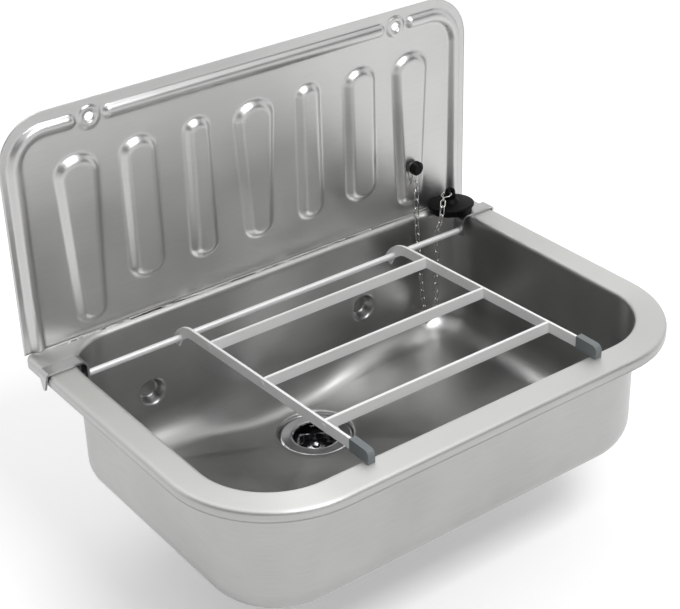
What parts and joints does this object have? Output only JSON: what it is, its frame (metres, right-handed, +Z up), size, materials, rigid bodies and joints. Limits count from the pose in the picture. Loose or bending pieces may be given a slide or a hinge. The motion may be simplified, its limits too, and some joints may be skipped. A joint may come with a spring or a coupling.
{
  "type": "mop sink",
  "caption": "Wall-hung pressed stainless sink with an embossed splashback, a bucket grid that turns up on a rod, a strainer waste, and a plug on a chain.",
  "frame": {"origin": "on the wall plane, at the level of the rim, in the middle of the width", "axes": "+X to the right seen from the front, +Y into the wall, +Z up; the front of the sink faces -Y"},
  "size_m": [0.5052, 0.339, 0.4288],
  "materials": {
    "satin_stainless": "satin brushed",
    "bright_stainless": "fine brushed, bright",
    "bar_stainless": "rolled, edges bright",
    "polished_stainless": "polished",
    "nickel_wire": "bright plated wire",
    "grey_rubber": "matt moulded",
    "black_rubber": "matt moulded",
    "black_plastic": "moulded"
  },
  "bodies": {
    "sink": {"basin": "satin_stainless", "splashback": "satin_stainless", "rim_clip_left": "bright_stainless", "rim_clip_right": "bright_stainless", "hinge_rod": "bright_stainless", "waste_flange": "polished_stainless", "strainer": "polished_stainless", "flange_gasket": "black_rubber", "waste_washer": "black_rubber", "waste_backnut": "black_plastic", "plug_body": "black_rubber", "plug_ring": "nickel_wire", "chain": "nickel_wire", "anchor_ring": "nickel_wire", "chain_anchor": "black_plastic", "anchor_nut": "nickel_wire"},
    "grid": {"side_bar_left": "bar_stainless", "side_bar_right": "bar_stainless", "cross_bar_rear": "bar_stainless", "cross_bar_middle": "bar_stainless", "cross_bar_front": "bar_stainless", "foot_left": "grey_rubber", "foot_right": "grey_rubber"}
  },
  "joints": [
    {"name": "grid_hinge", "type": "hinge", "parent": "sink", "child": "grid", "pos_m": [0, -0.0397, -0.015], "axis": [-1, 0, 0], "range_deg": [0, 92.5]}
  ]
}
